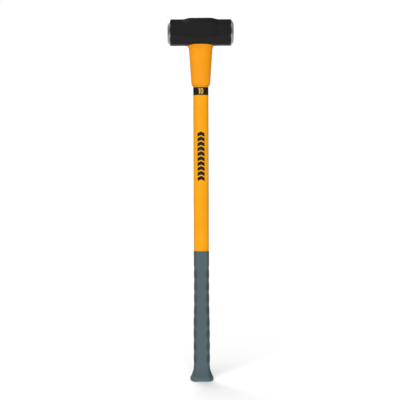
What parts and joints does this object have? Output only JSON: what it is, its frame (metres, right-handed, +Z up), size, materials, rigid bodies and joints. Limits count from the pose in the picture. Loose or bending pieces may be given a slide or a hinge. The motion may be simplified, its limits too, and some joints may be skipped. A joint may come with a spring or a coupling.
{
  "type": "sledgehammer",
  "caption": "Long double-faced sledgehammer: octagonal forged head, tapered guard collar under it, jacketed fibreglass handle and scalloped rubber grip with a flared butt.",
  "frame": {"origin": "centre of the flat end of the butt, on the handle's axis", "axes": "+Z up the handle towards the head, X along the head from one striking face to the other, Y across the head's cheeks"},
  "size_m": [0.167, 0.0684, 0.9144],
  "materials": {
    "black_paint": "satin",
    "cast_resin": "satin",
    "seal_rubber": "matte",
    "glass_fibre": "satin",
    "yellow_jacket": "satin",
    "orange_guard": "satin",
    "black_film": "gloss",
    "slate_rubber": "matte"
  },
  "bodies": {
    "root": {"hammer_head": "black_paint", "eye_resin": "cast_resin", "eye_seal_ring": "seal_rubber", "core_rod": "glass_fibre", "shaft_jacket": "yellow_jacket", "overstrike_guard": "orange_guard", "weight_band": "black_film", "grip_sleeve": "slate_rubber"}
  },
  "joints": []
}
